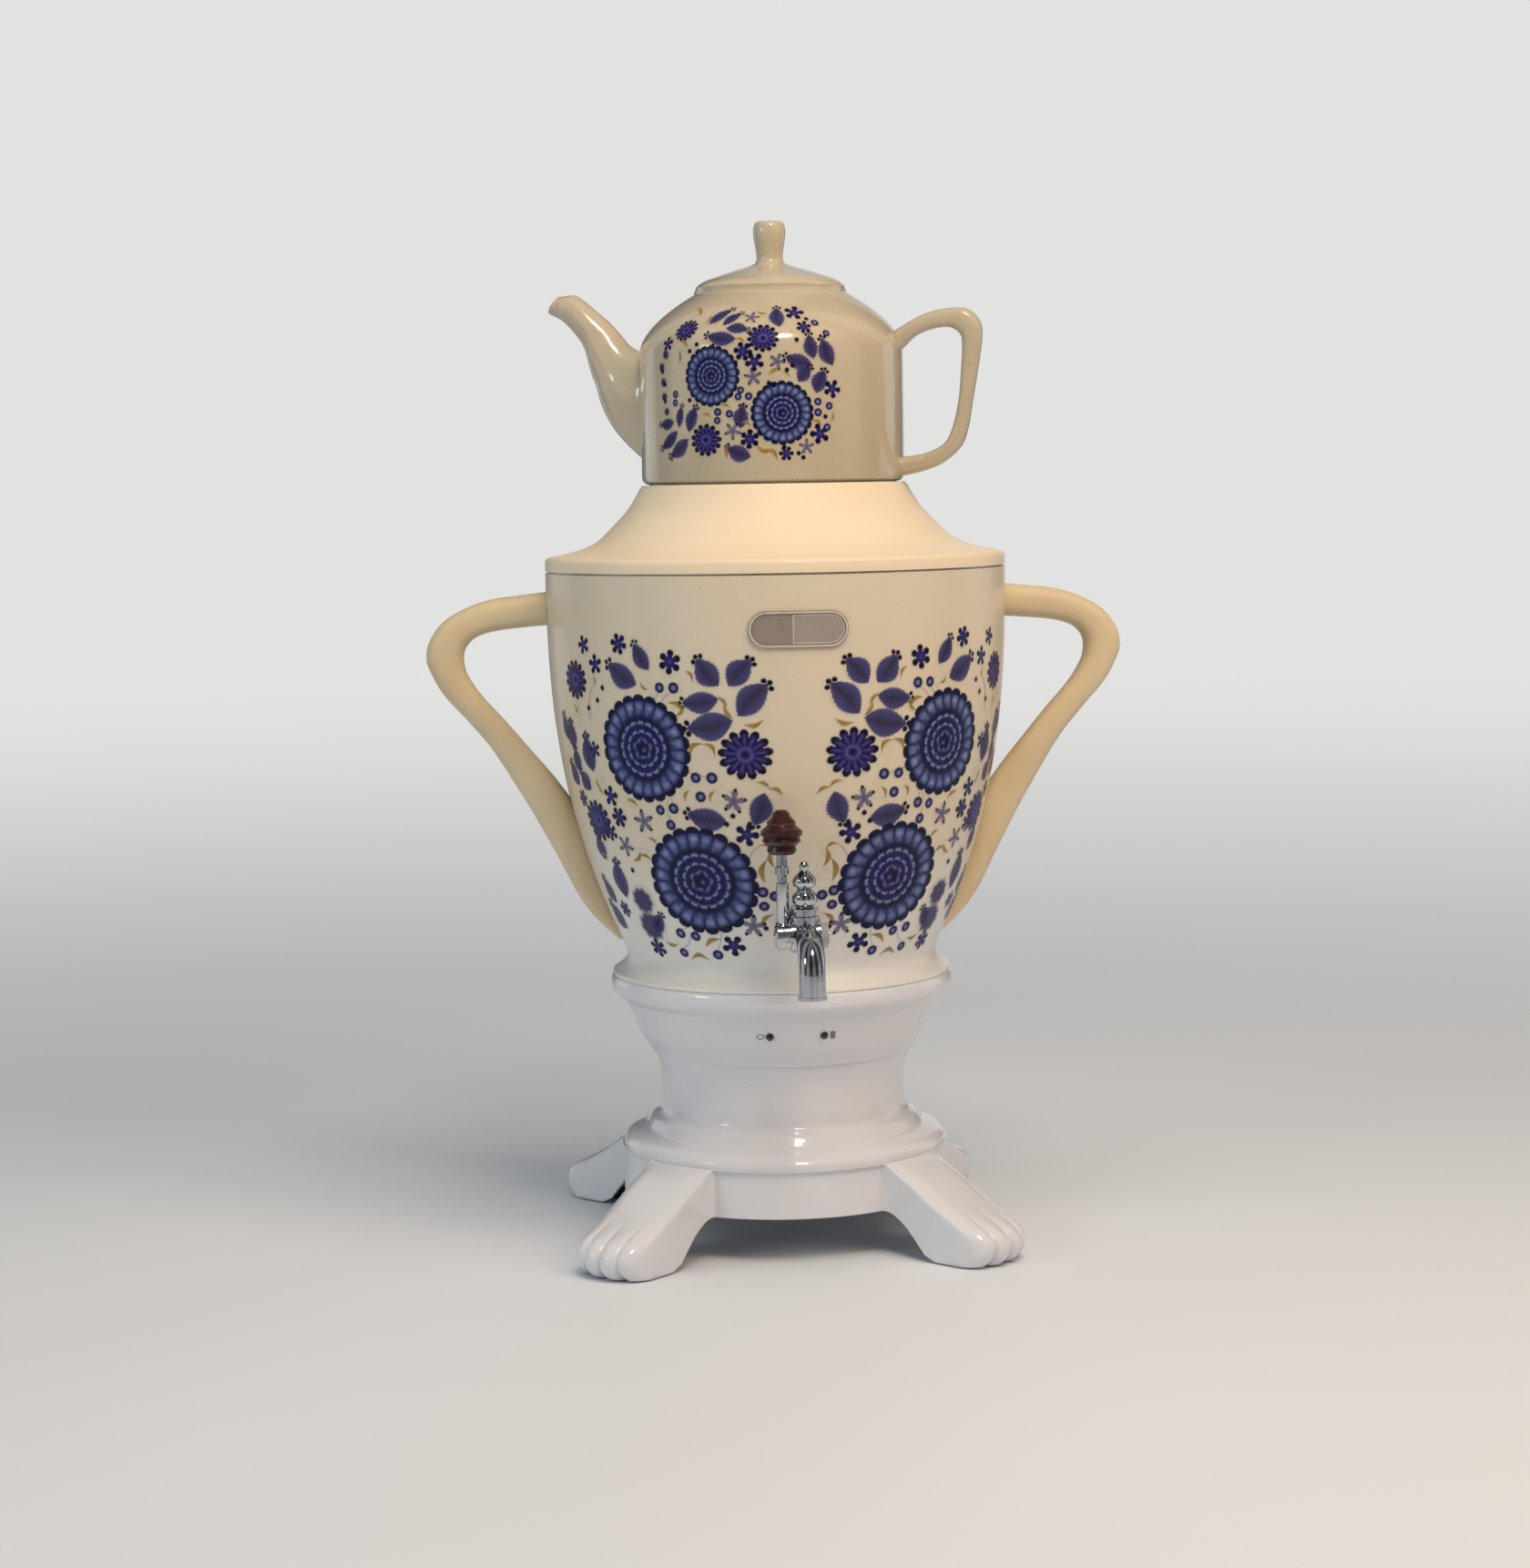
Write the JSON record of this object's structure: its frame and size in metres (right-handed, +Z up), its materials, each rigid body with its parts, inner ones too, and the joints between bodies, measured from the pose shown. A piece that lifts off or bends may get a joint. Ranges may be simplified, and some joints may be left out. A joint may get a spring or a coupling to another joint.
{
  "type": "electric samovar",
  "caption": "Electric samovar: enamelled body on a paw-footed column, loop handles, chrome tap with a key, and a cover that carries a porcelain teapot.",
  "frame": {"origin": "centre of the plane the four rubber pads stand on, on the axis of the body", "axes": "+Z up along the body's axis, -Y towards the tap, +X to the right handle"},
  "size_m": [0.3438, 0.2677, 0.4986],
  "materials": {
    "white_enamel": "glossy white enamel",
    "cream_enamel": "glossy warm white enamel with a blue floral transfer",
    "porcelain": "glazed white porcelain with a blue floral transfer",
    "ivory_plastic": "satin ivory",
    "black_plastic": "matt black",
    "red_plastic": "glossy dark red",
    "lamp_lens": "dark lens, unlit",
    "chrome": "polished chrome plate",
    "steel": "plain steel",
    "badge_metal": "satin plate with a polished rim",
    "brass": "plain",
    "rubber": "matt black",
    "red_wire": "silicone sleeve"
  },
  "bodies": {
    "samovar": {"foot": "white_enamel", "foot_pads": "rubber", "bottom_plate": "steel", "bottom_screws": "steel", "foot_screws": "steel", "column": "white_enamel", "rear_panel": "black_plastic", "power_inlet": "black_plastic", "inlet_pins": "brass", "switch_frame": "black_plastic", "lamp_left": "lamp_lens", "lamp_right": "lamp_lens", "deck_screws": "steel", "body_shell": "cream_enamel", "badge": "badge_metal", "handle_left": "ivory_plastic", "handle_right": "ivory_plastic", "handle_screws": "steel", "tank": "steel", "heater_plate": "steel", "heating_element": "steel", "thermostat": "black_plastic", "thermal_cutout": "steel", "heater_leads": "red_wire", "tap_body": "chrome", "tap_flange": "chrome", "tap_gasket": "rubber", "tap_inner_gasket": "rubber", "tap_nut": "steel", "tap_finial": "chrome"},
    "switch_rocker": {"switch_rocker": "black_plastic"},
    "tap_key": {"tap_plug": "chrome", "tap_key": "chrome", "tap_knob": "red_plastic", "plug_nut": "chrome"},
    "cover": {"cover": "cream_enamel", "cover_skirt": "steel"},
    "teapot": {"teapot_body": "porcelain", "teapot_spout": "porcelain", "teapot_handle": "porcelain"},
    "teapot_lid": {"teapot_lid": "porcelain"}
  },
  "joints": [
    {"name": "key_turn", "type": "hinge", "parent": "samovar", "child": "tap_key", "pos_m": [0, -0.119, 0.164], "axis": [1, 0, 0], "range_deg": [0, 90]},
    {"name": "rocker_tilt", "type": "hinge", "parent": "samovar", "child": "switch_rocker", "pos_m": [-0.0155, 0.0495, 0.0765], "axis": [1, 0, 0], "range_deg": [0, 24]},
    {"name": "cover_lift", "type": "slide", "parent": "samovar", "child": "cover", "axis": [0, 0, 1], "range_m": [0, 0.12]},
    {"name": "teapot_lift", "type": "slide", "parent": "cover", "child": "teapot", "axis": [0, 0, 1], "range_m": [0, 0.1]},
    {"name": "lid_lift", "type": "slide", "parent": "teapot", "child": "teapot_lid", "axis": [0, 0, 1], "range_m": [0, 0.06]}
  ]
}
